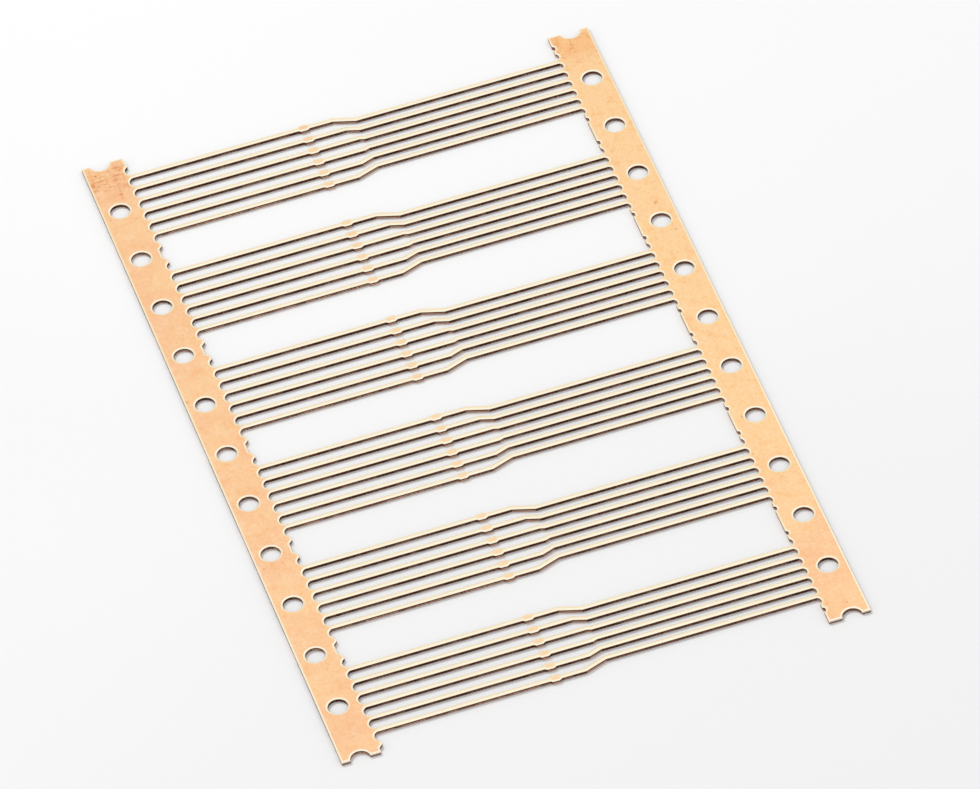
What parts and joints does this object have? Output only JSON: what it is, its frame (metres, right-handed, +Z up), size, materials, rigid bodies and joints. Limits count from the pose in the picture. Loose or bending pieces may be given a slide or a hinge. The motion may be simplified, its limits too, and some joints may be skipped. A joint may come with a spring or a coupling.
{
  "type": "lead frame strip",
  "caption": "Flat stamped copper strip: two rails with pilot holes, joined by groups of thin stepped leads with open windows between, for carrying leads through chip packaging.",
  "frame": {"origin": "middle of the underside, level with the middle pilot holes", "axes": "+X across the strip towards the narrow-pitch rail, +Y along the rails, +Z up through the sheet"},
  "size_m": [0.0538, 0.0898, 0.0004],
  "materials": {
    "copper": "rolled copper alloy, satin, with bright sheared edges and faint tarnish near one end"
  },
  "bodies": {
    "root": {"lead_frame": "copper"}
  },
  "joints": []
}
